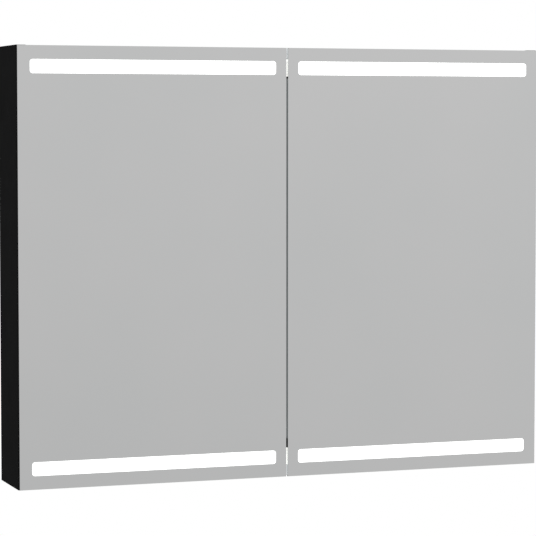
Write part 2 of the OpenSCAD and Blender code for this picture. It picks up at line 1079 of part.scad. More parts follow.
side_panel_left();
side_panel_right();
top_panel();
bottom_panel();
back_panel();
centre_partition();
top_rail();
bottom_rail();
top_light_tray();
bottom_light_tray();
top_light_cover();
bottom_light_cover();
top_led_strip();
bottom_led_strip();
top_service_cover();
bottom_service_cover();
service_screws();
led_driver();
terminal_block();
cable_grommet();
wiring_duct();
shelf_upper_left();
shelf_upper_right();
shelf_lower_left();
shelf_lower_right();
shelf_pins();
cam_locks();
cam_bolts();
front_mirror_left();
front_mirror_right();
inner_mirror_left();
inner_mirror_right();
light_lenses_left();
light_lenses_right();
door_bumpers_left();
door_bumpers_right();
catch_plates_left();
catch_plates_right();
magnet_catches();
hinge_base_plates();
hinge_arms();
hinge_arm_pins();
hinge_screws();
hinge_door_plates_left();
hinge_door_plates_right();
hinge_door_pins_left();
hinge_door_pins_right();
outer_links_left();
outer_links_right();
inner_links_left();
inner_links_right();
switch_housing();
switch_rocker();
hanger_brackets();
hanger_screws();
wall_plates();
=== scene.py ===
# %% [markdown]
# # Dressing a mirror cabinet
# The cabinet was drawn as exact solids in a CAD model, and that model is the frame here: it
# gives every size and place, and Blender only adds what the eye wants to see. We load it
# first, because every piece below takes its measurements from it and rides on its bodies.

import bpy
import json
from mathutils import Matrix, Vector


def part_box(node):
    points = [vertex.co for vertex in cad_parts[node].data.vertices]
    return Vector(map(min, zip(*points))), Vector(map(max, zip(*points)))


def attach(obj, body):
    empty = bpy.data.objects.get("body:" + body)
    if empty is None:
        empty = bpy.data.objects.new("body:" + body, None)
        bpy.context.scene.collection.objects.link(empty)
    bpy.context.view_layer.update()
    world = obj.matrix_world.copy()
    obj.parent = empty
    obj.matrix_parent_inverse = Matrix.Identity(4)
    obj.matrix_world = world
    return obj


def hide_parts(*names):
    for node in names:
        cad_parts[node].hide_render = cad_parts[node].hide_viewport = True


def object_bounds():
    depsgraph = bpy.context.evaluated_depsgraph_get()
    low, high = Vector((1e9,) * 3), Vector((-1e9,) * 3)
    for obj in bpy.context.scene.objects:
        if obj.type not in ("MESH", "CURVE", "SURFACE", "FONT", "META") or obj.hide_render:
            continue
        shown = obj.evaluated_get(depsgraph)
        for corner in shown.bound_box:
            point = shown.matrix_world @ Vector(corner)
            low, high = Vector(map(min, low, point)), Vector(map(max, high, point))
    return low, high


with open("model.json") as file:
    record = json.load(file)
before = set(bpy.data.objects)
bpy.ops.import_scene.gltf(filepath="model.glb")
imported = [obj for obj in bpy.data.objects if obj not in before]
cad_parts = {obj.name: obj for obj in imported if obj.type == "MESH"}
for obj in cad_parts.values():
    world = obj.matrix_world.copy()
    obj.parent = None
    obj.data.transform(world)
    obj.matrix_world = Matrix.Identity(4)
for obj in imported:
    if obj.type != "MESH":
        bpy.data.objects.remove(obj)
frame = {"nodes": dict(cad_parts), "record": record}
cad_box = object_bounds()
print("nodes:", len(frame["nodes"]))

# %% [markdown]
# ## Units and colours
# Blender works in metres and linear light, while a maker works in millimetres and picks
# colours by their hex code. Two tiny functions let the rest of the file speak like a maker.

# %% Millimetres and hex colours
import json
import math

import bmesh
import bpy
from mathutils import Matrix, Vector


def mm(length):
    """Millimetres to metres."""
    return length / 1000


def hex_colour(code):
    """An sRGB hex code as a linear colour with alpha 1."""
    channels = [int(code[i:i + 2], 16) / 255 for i in (1, 3, 5)]
    linear = [c / 12.92 if c <= 0.04045 else ((c + 0.055) / 1.055) ** 2.4 for c in channels]
    return (*linear, 1.0)


cabinet_low, cabinet_high = cad_box
print("cabinet, mm:", [round(1000 * v) for v in cabinet_high - cabinet_low])

# %% [markdown]
# ## Where each node belongs
# The imported record already says which body a node rides on and which finish slot it takes.
# Turning the body list round gives a lookup, so no piece below repeats that by hand.

# %% Body of each node
body_of = {}
for body_name, members in frame["record"]["behaviour"]["bodies"].items():
    for member in members:
        body_of[member] = body_name

# %% [markdown]
# ## Adding a shader node
# A procedural finish is a small network of nodes. Written out in full, each node takes four
# or five lines. One function that adds any kind of node, sets its options and fills or
# links its inputs keeps every finish short enough to read as a recipe.

# %% One function for every kind of node


def add_node(tree, kind, inputs=None, **options):
    """Adds a node. An input given as a socket is linked, and any other value is set."""
    made = tree.nodes.new(kind)
    for name, value in options.items():
        setattr(made, name, value)
    for name, value in (inputs or {}).items():
        if isinstance(value, bpy.types.NodeSocket):
            tree.links.new(value, made.inputs[name])
        else:
            made.inputs[name].default_value = value
    return made


def new_finish(name, **constants):
    """A material with one Principled shader. Returns it with its tree, shader and position."""
    finish = bpy.data.materials.new(name)
    finish.use_nodes = True
    tree = finish.node_tree
    tree.nodes.clear()
    shader = add_node(tree, "ShaderNodeBsdfPrincipled")
    for socket, value in constants.items():
        shader.inputs[socket.replace("_", " ")].default_value = value
    add_node(tree, "ShaderNodeOutputMaterial", {"Surface": shader.outputs["BSDF"]})
    place = add_node(tree, "ShaderNodeTexCoord").outputs["Object"]
    return finish, tree, shader, place


def per_mm(size):
    """The noise scale that gives features of this size in millimetres, in metres of space."""
    return 1 / mm(size)


# %% [markdown]
# ## Layers that finishes share
# Almost every real surface shows three things at once: a slow drift of tone, a change of
# gloss where hands and cloths have been, and a fine relief from how it was made. We could
# paint them as images, but noise measured in millimetres stays sharp at any distance and
# needs no unwrapping. The next three functions join such a layer to a shader.

# %% Tone, gloss and relief layers


def noise(tree, place, size, detail=3.0, stretch=(1, 1, 1)):
    """Noise with features of this size in mm, stretched along the axes. Returns its value."""
    spread = add_node(
        tree, "ShaderNodeMapping", {"Vector": place, "Scale": [1 / s for s in stretch]}
    )
    inputs = {"Vector": spread.outputs["Vector"], "Scale": per_mm(size), "Detail": detail}
    return add_node(tree, "ShaderNodeTexNoise", inputs).outputs["Fac"]


def tone_between(tree, shader, factor, dark, light, socket="Base Color"):
    """Drifts a colour between two hex colours as the factor goes from 0.3 to 0.7."""
    ramp = add_node(tree, "ShaderNodeValToRGB", {"Fac": factor})
    ramp.color_ramp.elements[0].position = 0.3
    ramp.color_ramp.elements[1].position = 0.7
    ramp.color_ramp.elements[0].color = hex_colour(dark)
    ramp.color_ramp.elements[1].color = hex_colour(light)
    tree.links.new(ramp.outputs["Color"], shader.inputs[socket])


def gloss_between(tree, shader, factor, low, high, socket="Roughness"):
    """Drifts a value socket, such as the roughness, between two values. Returns the drift."""
    inputs = {"Value": factor, "From Min": 0.3, "From Max": 0.7, "To Min": low, "To Max": high}
    drift = add_node(tree, "ShaderNodeMapRange", inputs)
    tree.links.new(drift.outputs["Result"], shader.inputs[socket])
    return drift


def relief(tree, shader, height, depth, under=None):
    """Bumps the surface by a height map. Depth is in mm, and another relief can lie under it."""
    inputs = {"Height": height, "Distance": mm(depth), "Strength": 1.0}
    if under is not None:
        inputs["Normal"] = under
    bump = add_node(tree, "ShaderNodeBump", inputs)
    tree.links.new(bump.outputs["Normal"], shader.inputs["Normal"])
    return bump.outputs["Normal"]


# %% [markdown]
# ## Satin lacquer on board
# The case is fibreboard, sanded and sprayed with black satin lacquer. Spraying leaves a very
# shallow orange peel about 2 mm across, so highlights break up softly at their edges, and
# years of wiping polish some patches a little more than others.

# %% Finish: black satin lacquer
satin_lacquer, tree, shader, place = new_finish(
    "black_satin_lacquer", IOR=1.48, Specular_IOR_Level=0.22
)
tone_between(tree, shader, noise(tree, place, 90), "#0d0d0e", "#121213")
gloss_between(tree, shader, noise(tree, place, 38, detail=5), 0.42, 0.56)
peel = relief(tree, shader, noise(tree, place, 2.2, detail=1), 0.03)
# Real lacquer dust is 0.2 mm; 0.7 mm is the finest that shows at this distance.
relief(tree, shader, noise(tree, place, 0.7, detail=0), 0.006, under=peel)

# %% [markdown]
# ## Faced fibreboard
# The thin back panel is hardboard with a printed black face. Under the print the pressed
# fibres still show as short flecks, and the face is duller than lacquer. The side toward the
# wall is left raw: brown, matt, with the print of the wire screen it was pressed on.

# %% Finish: faced fibreboard
faced_hardboard, tree, shader, place = new_finish(
    "black_faced_hardboard", IOR=1.46, Specular_IOR_Level=0.25
)
fibres = noise(tree, place, 3.5, detail=6, stretch=(3, 1, 1))
tone_between(tree, shader, fibres, "#141415", "#1d1d1f")
gloss_between(tree, shader, noise(tree, place, 60), 0.58, 0.72)
relief(tree, shader, fibres, 0.05)

raw_hardboard, tree, shader, place = new_finish(
    "raw_hardboard", IOR=1.46, Specular_IOR_Level=0.15
)
mat_fibres = noise(tree, place, 5, detail=9, stretch=(2, 1, 1))
tone_between(tree, shader, mat_fibres, "#54412f", "#7b6148")
gloss_between(tree, shader, noise(tree, place, 40), 0.8, 0.92)
# The wire screen that the wet board is pressed on leaves a print 1.5 mm apart, drawn at 3 mm.
screen = add_node(
    tree,
    "ShaderNodeTexWave",
    {"Vector": place, "Scale": math.pi / 10 / mm(3), "Distortion": 0.6},
    bands_direction="DIAGONAL",
)
print_relief = relief(tree, shader, screen.outputs["Fac"], 0.08)
relief(tree, shader, mat_fibres, 0.12, under=print_relief)

# %% [markdown]
# ## Powder coated steel
# The light trays and the service covers are folded sheet steel. Powder melts into a skin
# with a tighter, rounder peel than sprayed lacquer, which scatters light evenly.

# %% Finish: black powder coat
powder_coat, tree, shader, place = new_finish(
    "black_powder_coat", IOR=1.5, Specular_IOR_Level=0.35
)
tone_between(tree, shader, noise(tree, place, 50), "#101011", "#161617")
gloss_between(tree, shader, noise(tree, place, 20), 0.5, 0.62)
beads = add_node(
    tree, "ShaderNodeTexVoronoi", {"Vector": place, "Scale": per_mm(1.4)}, feature="SMOOTH_F1"
)
relief(tree, shader, beads.outputs["Distance"], 0.04)

# %% [markdown]
# ## Anodised aluminium
# The light rails are extruded and satin anodised. The die draws fine lines along the rail,
# and the etch before anodising blurs them, so the metal glows softly and streaks lengthwise.
# A metal keeps the default IOR, because its base colour already says what it reflects.

# %% Finish: satin anodised aluminium
anodised, tree, shader, place = new_finish("satin_anodised_aluminium", Metallic=1.0)
die_lines = noise(tree, place, 1.1, detail=4, stretch=(160, 1, 1))
tone_between(tree, shader, die_lines, "#d2d4d6", "#dfe0e1")
gloss_between(tree, shader, noise(tree, place, 26), 0.3, 0.4)
relief(tree, shader, die_lines, 0.012)

# %% [markdown]
# ## Opal acrylic that glows
# The covers in front of the light boards are opal acrylic. Opal scatters the separate chips
# into one band, with a faint beat left where each chip sits. A full simulation of light
# inside the plastic is slow, so the cover gives its own light and the beat is a soft wave
# along it, one crest for each chip. Its surface is a fine satin from the die.

# %% Finish: glowing opal covers
CHIP_PITCH_MM = 30
opal_cover, tree, shader, place = new_finish("opal_acrylic_cover", IOR=1.49)
tone_between(tree, shader, noise(tree, place, 25), "#eeeeea", "#f6f6f3")
gloss_between(tree, shader, noise(tree, place, 1.2), 0.3, 0.4)
# A wave texture's crest repeats every pi / 10 of its scaled space.
beat = add_node(
    tree,
    "ShaderNodeTexWave",
    {"Vector": place, "Scale": math.pi / 10 / mm(CHIP_PITCH_MM), "Distortion": 0.0},
    bands_direction="X",
    wave_profile="SIN",
)
shader.inputs["Emission Color"].default_value = hex_colour("#fffefb")
gloss_between(tree, shader, beat.outputs["Fac"], 0.74, 0.82, socket="Emission Strength")
relief(tree, shader, noise(tree, place, 0.6, detail=0), 0.005)

# %% [markdown]
# ## The lit strips
# Each strip is a satin opal insert in the mirror, lit hard from behind, so it reads as pure
# white. Its face is etched, which keeps reflections off it: that is a high roughness and a
# very fine grain. It drifts by a hair in strength, where the boards end behind it.

# %% Finish: glowing satin lenses
opal_lens, tree, shader, place = new_finish("satin_opal_lens", IOR=1.49)
tone_between(tree, shader, noise(tree, place, 40), "#f4f4f2", "#fbfbfa")
gloss_between(tree, shader, noise(tree, place, 0.8), 0.55, 0.65)
shader.inputs["Emission Color"].default_value = hex_colour("#ffffff")
gloss_between(tree, shader, noise(tree, place, 70), 1.06, 1.18, socket="Emission Strength")
relief(tree, shader, noise(tree, place, 0.5, detail=0), 0.01)

# %% [markdown]
# ## Light boards
# The boards are aluminium with white solder mask. The mask is glossy but a little wavy over
# the copper under it, and slightly yellow near the hot chips.

# %% Finish: white solder mask and phosphor
solder_mask, tree, shader, place = new_finish("white_solder_mask", IOR=1.55)
tone_between(tree, shader, noise(tree, place, 12), "#e8e6da", "#f2f1ea")
gloss_between(tree, shader, noise(tree, place, 8), 0.22, 0.35)
relief(tree, shader, noise(tree, place, 3), 0.02)

chip_phosphor, tree, shader, place = new_finish("chip_phosphor", IOR=1.5)
tone_between(tree, shader, noise(tree, place, 0.9), "#e9d36a", "#f3e08a")
shader.inputs["Emission Color"].default_value = hex_colour("#fff4d6")
gloss_between(tree, shader, noise(tree, place, 1.0), 1.6, 2.2, socket="Emission Strength")
gloss_between(tree, shader, noise(tree, place, 0.7), 0.3, 0.45)

# %% [markdown]
# ## Silvered float glass
# A mirror is clear float glass with silver on its rear face. Seen from the front, it is a
# near perfect metal with the faint green of the glass over it. Float glass is drawn flat on
# molten tin, yet it keeps a very long, very low wave, and wiping leaves a film that dulls the
# silver by a trace. Both are there below, just above nothing, as on a clean mirror.

# %% Finish: silvered float glass
silvered_glass, tree, shader, place = new_finish("silvered_float_glass", Metallic=1.0)
tone_between(tree, shader, noise(tree, place, 240, detail=2), "#f1f2f2", "#f4f4f4")
gloss_between(tree, shader, noise(tree, place, 55, detail=6), 0.006, 0.02)
relief(tree, shader, noise(tree, place, 320, detail=0, stretch=(1, 1, 3)), 0.05)

# %% [markdown]
# ## Edges and backs of the mirrors
# The panes' edges are ground and then polished. Looking into an edge we see along the pane,
# to and fro between its silver and its face, so the edge answers light much as dull metal
# does. The edge beside the black side panel carries painted shade: a near black finish with
# faint streaks along it, so it reads as dark as an edge in shade. The back has two coats of
# grey paint from a curtain coater, which leaves fine lines in the direction the pane ran.

# %% Finish: polished glass edge, painted shade on the outer edge and backing paint
polished_edge, tree, shader, place = new_finish("polished_glass_edge", Metallic=1.0)
grind_lines = noise(tree, place, 0.8, detail=3, stretch=(1, 1, 60))
tone_between(tree, shader, grind_lines, "#c6ccca", "#d4d9d7")
gloss_between(tree, shader, grind_lines, 0.12, 0.2)
relief(tree, shader, grind_lines, 0.01)

# Painted shade: the outer edges are coloured near black so they read dark, as an edge in shade
# does. The streaks are plain tone.
outer_edge_painted_shade, tree, shader, place = new_finish(
    "painted_shade_outer_edge", IOR=1.5, Specular_IOR_Level=0.25
)
outer_edge_streaks = noise(tree, place, 1.2, detail=3, stretch=(1, 1, 40))
tone_between(tree, shader, outer_edge_streaks, "#0e0e0f", "#141415")
gloss_between(tree, shader, noise(tree, place, 18), 0.4, 0.5)
relief(tree, shader, outer_edge_streaks, 0.02)

backing_paint, tree, shader, place = new_finish("mirror_backing_paint", IOR=1.5)
coater_lines = noise(tree, place, 2.5, detail=4, stretch=(1, 1, 80))
tone_between(tree, shader, coater_lines, "#5d6264", "#666b6c")
gloss_between(tree, shader, noise(tree, place, 30), 0.4, 0.52)
relief(tree, shader, coater_lines, 0.02)

# %% [markdown]
# ## Clear shelf glass
# The shelves are clear glass with polished edges. The body of the glass is nearly colourless,
# and the edge is green because light has come a long way through it. One material can't know
# how far light has come in a cheap render, so faces and edges take two finishes.

# %% Finish: clear glass and its green edge
shelf_face, tree, shader, place = new_finish(
    "clear_shelf_glass", IOR=1.52, Transmission_Weight=1.0
)
tone_between(tree, shader, noise(tree, place, 120), "#f2f8f6", "#f8fbfa")
gloss_between(tree, shader, noise(tree, place, 30, detail=6), 0.0, 0.03)
relief(tree, shader, noise(tree, place, 90, detail=0), 0.02)

shelf_edge, tree, shader, place = new_finish(
    "green_glass_edge", IOR=1.52, Transmission_Weight=0.7
)
tone_between(tree, shader, noise(tree, place, 9, stretch=(12, 1, 1)), "#5d9c8b", "#7fb5a6")
gloss_between(tree, shader, noise(tree, place, 4), 0.05, 0.14)
relief(tree, shader, noise(tree, place, 1.2, detail=2, stretch=(30, 1, 1)), 0.008)

# %% [markdown]
# ## Plated steel
# The hinges are stamped steel, tumbled and nickel plated: warm, bright, with soft tumbling
# marks. The hangers and the small fasteners are zinc plated, which is bluer and duller, with
# the cloudy patches of the bath. Both are metals, and differ in colour, gloss and relief.

# %% Finish: nickel plate and zinc plate
nickel_plate, tree, shader, place = new_finish("nickel_plated_steel", Metallic=1.0)
tone_between(tree, shader, noise(tree, place, 6), "#c3beb6", "#d3cfc8")
gloss_between(tree, shader, noise(tree, place, 1.5, detail=6), 0.2, 0.34)
relief(tree, shader, noise(tree, place, 0.9, detail=4, stretch=(3, 1, 1)), 0.012)

zinc_plate, tree, shader, place = new_finish("zinc_plated_steel", Metallic=1.0)
cloud = add_node(
    tree, "ShaderNodeTexVoronoi", {"Vector": place, "Scale": per_mm(5)}, feature="SMOOTH_F1"
)
tone_between(tree, shader, cloud.outputs["Distance"], "#aeb4ba", "#c2c6ca")
gloss_between(tree, shader, noise(tree, place, 4, detail=5), 0.3, 0.46)
relief(tree, shader, noise(tree, place, 0.8, detail=3, stretch=(1, 1, 6)), 0.015)

# %% [markdown]
# ## Rubber and plastics
# Soft pads are cast clear polyurethane. The bush is EPDM rubber, which is matt and collects
# dust. The moulded parts are ABS or PVC with a spark eroded grain: about 0.3 mm on the real
# parts, drawn at 0.8 mm so that it shows.

# %% Finish: pads, rubber and moulded plastics
clear_pad, tree, shader, place = new_finish(
    "clear_polyurethane_pad", IOR=1.5, Transmission_Weight=0.75
)
tone_between(tree, shader, noise(tree, place, 3), "#dfe4e3", "#eef1f0")
gloss_between(tree, shader, noise(tree, place, 1.5), 0.12, 0.25)
relief(tree, shader, noise(tree, place, 2), 0.01)

epdm_rubber, tree, shader, place = new_finish(
    "black_epdm_rubber", IOR=1.52, Specular_IOR_Level=0.3
)
tone_between(tree, shader, noise(tree, place, 4, detail=5), "#161616", "#242423")
gloss_between(tree, shader, noise(tree, place, 3), 0.62, 0.8)
relief(tree, shader, noise(tree, place, 0.8), 0.02)


def moulded_plastic(name, dark, light, smooth, rough):
    """Moulded plastic with an eroded grain, between two colours and two roughnesses."""
    finish, tree, shader, place = new_finish(name, IOR=1.53, Specular_IOR_Level=0.45)
    tone_between(tree, shader, noise(tree, place, 14), dark, light)
    gloss_between(tree, shader, noise(tree, place, 9, detail=4), smooth, rough)
    relief(tree, shader, noise(tree, place, 0.8, detail=1), 0.02)
    return finish


white_abs = moulded_plastic("white_abs", "#e2e2dd", "#ebebe7", 0.36, 0.46)
grey_pvc = moulded_plastic("grey_pvc_duct", "#44464a", "#4c4e52", 0.45, 0.55)
black_abs = moulded_plastic("black_abs", "#121213", "#19191a", 0.34, 0.48)
print("finishes:", len(bpy.data.materials))

# %% [markdown]
# ## Easing the edges
# No real board or sheet has a knife edge: lacquered boards are sanded to about half a
# millimetre, and sheet steel keeps the small round of its shear. Those slim rounds catch a
# line of light, and without them a model looks cut from paper. We could put a Bevel modifier
# on each node, but the frame's meshes are to stay as they are, and they are made of
# triangles. So each node's shape is copied, its triangles are merged back into whole faces,
# and the sharp outer edges of the copy are bevelled. The copy then stands for the node.

# %% Copy a node's shape and ease it
WELD_MM = 0.005
SLIVER_MM = 0.002
FLAT_DEGREES = 0.5
SHARP_DEGREES = 40
SMOOTH_DEGREES = 32


def welded_shape(node):
    """A node's shape with its triangles merged into flat faces."""
    shape = bmesh.new()
    shape.from_mesh(frame["nodes"][node].data)
    bmesh.ops.remove_doubles(shape, verts=shape.verts, dist=mm(WELD_MM))
    bmesh.ops.dissolve_degenerate(shape, edges=shape.edges, dist=mm(SLIVER_MM))
    limit = math.radians(FLAT_DEGREES)
    bmesh.ops.dissolve_limit(shape, angle_limit=limit, verts=shape.verts, edges=shape.edges)
    return shape


def ease_edges(shape, ease_mm):
    """Bevels the sharp outer edges. An inner corner has a negative angle and stays."""
    limit = math.radians(SHARP_DEGREES)
    sharp = [e for e in shape.edges if e.is_manifold and e.calc_face_angle_signed() > limit]
    if sharp:
        bmesh.ops.bevel(
            shape,
            geom=sharp,
            offset=mm(ease_mm),
            segments=2,
            profile=0.5,
            affect="EDGES",
            clamp_overlap=True,
        )


def finish_piece(shape, name, body, finishes):
    """Turns a shape into an object that rides on a body and takes the finishes it is given."""
    mesh = bpy.data.meshes.new(name)
    shape.to_mesh(mesh)
    shape.free()
    for finish in finishes:
        mesh.materials.append(finish)
    mesh.polygons.foreach_set("use_smooth", [True] * len(mesh.polygons))
    mesh.set_sharp_from_angle(angle=math.radians(SMOOTH_DEGREES))
    piece = bpy.data.objects.new(name, mesh)
    # Large flat faces keep their own direction, and the slim rounds blend between them.
    weighted = piece.modifiers.new("flat_faces_stay_flat", "WEIGHTED_NORMAL")
    weighted.keep_sharp = True
    weighted.weight = 100
    bpy.context.scene.collection.objects.link(piece)
    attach(piece, body)
    return piece


def stand_for(node, shape, finishes):
    """The shape becomes a piece that replaces one node, with the node's body and the given
    finishes.
    """
    piece = finish_piece(shape, node + "_dressed", body_of[node], finishes)
    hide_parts(node)
    return piece


# %% [markdown]
# ## The case
# The boards and folded sheets only need their edges eased and their finish. Boards are
# sanded rounder than sheared steel or sawn hardboard, so the table gives each its own ease.

# %% Boards, sheets, rails and covers
eased_nodes = {
    "side_panel_left": (0.6, satin_lacquer),
    "side_panel_right": (0.6, satin_lacquer),
    "top_panel": (0.5, satin_lacquer),
    "bottom_panel": (0.5, satin_lacquer),
    "centre_partition": (0.4, satin_lacquer),
    "top_light_tray": (0.25, powder_coat),
    "bottom_light_tray": (0.25, powder_coat),
    "top_service_cover": (0.25, powder_coat),
    "bottom_service_cover": (0.25, powder_coat),
    "top_rail": (0.35, anodised),
    "bottom_rail": (0.35, anodised),
    "top_light_cover": (0.4, opal_cover),
    "bottom_light_cover": (0.4, opal_cover),
    "led_driver": (0.8, white_abs),
    "terminal_block": (0.4, white_abs),
    "wiring_duct": (0.5, grey_pvc),
    "switch_housing": (0.5, black_abs),
    "switch_rocker": (0.4, black_abs),
    "cable_grommet": (0.3, epdm_rubber),
    "wall_plates": (0.25, zinc_plate),
    "hanger_brackets": (0.25, zinc_plate),
    "cam_locks": (0.2, zinc_plate),
    "cam_bolts": (0.1, zinc_plate),
    "catch_plates_left": (0.2, zinc_plate),
    "catch_plates_right": (0.2, zinc_plate),
    "hinge_base_plates": (0.3, nickel_plate),
    "hinge_arms": (0.35, nickel_plate),
    "hinge_arm_pins": (0.2, nickel_plate),
    "hinge_door_plates_left": (0.25, nickel_plate),
    "hinge_door_plates_right": (0.25, nickel_plate),
    "hinge_door_pins_left": (0.2, nickel_plate),
    "hinge_door_pins_right": (0.2, nickel_plate),
    "outer_links_left": (0.3, nickel_plate),
    "outer_links_right": (0.3, nickel_plate),
    "inner_links_left": (0.3, nickel_plate),
    "inner_links_right": (0.3, nickel_plate),
    "shelf_pins": (0.3, nickel_plate),
    "door_bumpers_left": (0.5, clear_pad),
    "door_bumpers_right": (0.5, clear_pad),
}
for node, (ease_mm, finish) in eased_nodes.items():
    shape = welded_shape(node)
    ease_edges(shape, ease_mm)
    stand_for(node, shape, [finish])
print("eased:", len(eased_nodes))

# %% [markdown]
# ## Two-faced pieces
# The back panel is black inside and raw brown toward the wall, and each magnet is a white
# moulded case with a steel pole let into its front. Both are one shape with two finishes.
# The pole is made by insetting the case's front face and pushing the inner part back.

# %% Back panel and magnets
INSIDE, TO_WALL = range(2)
CASE, POLE = range(2)
POLE_RIM_MM = 2.2
POLE_BACK_MM = 0.4

shape = welded_shape("back_panel")
ease_edges(shape, 0.2)
shape.normal_update()
for face in shape.faces:
    face.material_index = TO_WALL if face.normal.y > 0.5 else INSIDE
stand_for("back_panel", shape, [faced_hardboard, raw_hardboard])

shape = welded_shape("magnet_catches")
ease_edges(shape, 0.6)
shape.normal_update()
fronts = [f for f in shape.faces if f.normal.y < -0.99]
bmesh.ops.inset_individual(
    shape, faces=fronts, thickness=mm(POLE_RIM_MM), depth=-mm(POLE_BACK_MM)
)
for face in fronts:
    face.material_index = POLE
stand_for("magnet_catches", shape, [white_abs, zinc_plate])
print("magnets:", len(fronts))

# %% [markdown]
# ## The partition's front edge
# The cut front of the partition is covered with grey edge band, ironed on and trimmed short
# of the light trays. It shows as the grey line in the gap between the doors. It could be
# painted on the board by height, but a band is a strip of its own on the real board, so it
# is one here: a slim box with its edges scraped round.

# %% Edge band
# A real band is 0.4 mm thick. The door bumpers close on the board, so this one is slimmer.
BAND_MM = 0.15
BAND_ROUND_MM = 0.06
BAND_SHORT_TOP_MM = 1.5
BAND_SHORT_BOTTOM_MM = 14.0


def slab(low, high):
    """A box between two corners, as a shape that can be eased."""
    shape = bmesh.new()
    bmesh.ops.create_cube(shape, size=1)
    for vert in shape.verts:
        vert.co = Vector([high[i] if vert.co[i] > 0 else low[i] for i in range(3)])
    return shape


edge_band, tree, shader, place = new_finish("grey_edge_band", IOR=1.5)
tone_between(tree, shader, noise(tree, place, 6, stretch=(1, 1, 8)), "#8d8f91", "#97999b")
gloss_between(tree, shader, noise(tree, place, 9), 0.4, 0.5)
relief(tree, shader, noise(tree, place, 0.8, stretch=(1, 1, 10)), 0.01)

board_low, board_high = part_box("centre_partition")
band_low = (board_low.x, board_low.y - mm(BAND_MM), board_low.z + mm(BAND_SHORT_BOTTOM_MM))
band_high = (board_high.x, board_low.y, board_high.z - mm(BAND_SHORT_TOP_MM))
shape = slab(band_low, band_high)
ease_edges(shape, BAND_ROUND_MM)
finish_piece(shape, "partition_edge_band", "case", [edge_band])
print("edge band, mm:", round(1000 * (band_high[2] - band_low[2])), "long")

# %% [markdown]
# ## Rings, walls and lids
# The mirrors and their lit strips are flat things with round corners, and the eye is quick to
# see a corner that is cut in facets. The frame's mesh is only as fine as tests need, so these
# pieces are laid out afresh from its measurements. Everything is a stack of rings parallel
# to the wall: a wall joins two rings, and a lid fills the space between rings in one plane.

# %% Helpers for flat pieces
CORNER_STEPS = 12


def ring(shape, low, high, y, radius=0.0, inset=0.0):
    """Corners of a rectangle at depth y, inset on all sides and rounded by a radius."""
    verts = []
    for right, up, start in ((1, 1, 0), (0, 1, 90), (0, 0, 180), (1, 0, 270)):
        x = high.x - inset - radius if right else low.x + inset + radius
        z = high.z - inset - radius if up else low.z + inset + radius
        steps = CORNER_STEPS if radius else 0
        for step in range(steps + 1):
            turn = math.radians(start + 90 * step / max(steps, 1))
            verts.append(
                shape.verts.new((x + radius * math.cos(turn), y, z + radius * math.sin(turn)))
            )
    return verts


def wall(shape, first, second):
    """Joins two rings with the same number of corners."""
    for i in range(len(first)):
        shape.faces.new((first[i - 1], first[i], second[i], second[i - 1]))


def lid(shape, *rings):
    """Fills the plane between one outer ring and the rings inside it."""
    edges = []
    for corners in rings:
        for i in range(len(corners)):
            pair = (corners[i - 1], corners[i])
            edges.append(shape.edges.get(pair) or shape.edges.new(pair))
    bmesh.ops.triangle_fill(shape, use_beauty=True, use_dissolve=False, edges=edges)


# %% [markdown]
# ## Measuring the cut-outs
# The strips' places are read off the frame's own panes: any corner of a front pane that isn't
# on its outline belongs to the upper or the lower cut-out.

# %% Cut-outs of a pane
OUTLINE_BAND_MM = 1.0
centre_z = (cabinet_low.z + cabinet_high.z) / 2


def box_of(spots):
    """The lowest and the highest corner of the box round some points."""
    low = Vector([min(spot[i] for spot in spots) for i in range(3)])
    high = Vector([max(spot[i] for spot in spots) for i in range(3)])
    return low, high


def cut_outs(node):
    """The boxes of the lower and the upper cut-out of a front pane."""
    low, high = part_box(node)
    near = mm(OUTLINE_BAND_MM)
    lower, upper = [], []
    for vert in frame["nodes"][node].data.vertices:
        p = vert.co
        if low.x + near < p.x < high.x - near and low.z + near < p.z < high.z - near:
            half = upper if p.z > centre_z else lower
            half.append(p.copy())
    return [box_of(lower), box_of(upper)]


for low, high in cut_outs("front_mirror_left"):
    print("cut-out, mm:", [round(1000 * v, 1) for v in high - low])

# %% [markdown]
# ## The mirrors
# A pane shows three surfaces: silvered glass in front, a ground and polished edge, and the
# painted back. A face's direction tells which is which. The outer edge has an arris, a tiny
# 45 degree chamfer that keeps fingers whole, while the cut-outs round the lit strips stay
# sharp, because the lenses fill them flush. The edge that looks away from the cabinet's
# middle carries painted shade: a near black finish that makes it read dark.

# %% Front and inner panes
SILVER, EDGE, PAINT, PAINTED_SHADE_EDGE = range(4)
ARRIS_MM = 0.12
STRIP_CORNER_MM = 4.5


def pane_piece(node, toward_user, holes=()):
    """A silvered pane. toward_user is -1 where the silver shows to the front, else 1."""
    low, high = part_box(node)
    arris = mm(ARRIS_MM)
    outward = 1 if low.x > 0 else -1
    shape = bmesh.new()
    depths = ((low.y, arris), (low.y + arris, 0), (high.y - arris, 0), (high.y, arris))
    outline = [ring(shape, low, high, y, inset=inset) for y, inset in depths]
    for first, second in zip(outline, outline[1:]):
        wall(shape, first, second)
    round_by = mm(STRIP_CORNER_MM)
    fronts = [ring(shape, *hole, low.y, radius=round_by) for hole in holes]
    backs = [ring(shape, *hole, high.y, radius=round_by) for hole in holes]
    for front, back in zip(fronts, backs):
        wall(shape, front, back)
    lid(shape, outline[0], *fronts)
    lid(shape, outline[-1], *backs)
    bmesh.ops.recalc_face_normals(shape, faces=shape.faces)
    for face in shape.faces:
        facing = face.normal.y * toward_user
        if facing > 0.99:
            face.material_index = SILVER
        elif facing < -0.99:
            face.material_index = PAINT
        # Painted shade: the edge facing away from the middle takes the near black finish.
        elif face.normal.x * outward > 0.5:
            face.material_index = PAINTED_SHADE_EDGE
        else:
            face.material_index = EDGE
    return stand_for(node, shape, [silvered_glass, polished_edge, backing_paint, outer_edge_painted_shade])


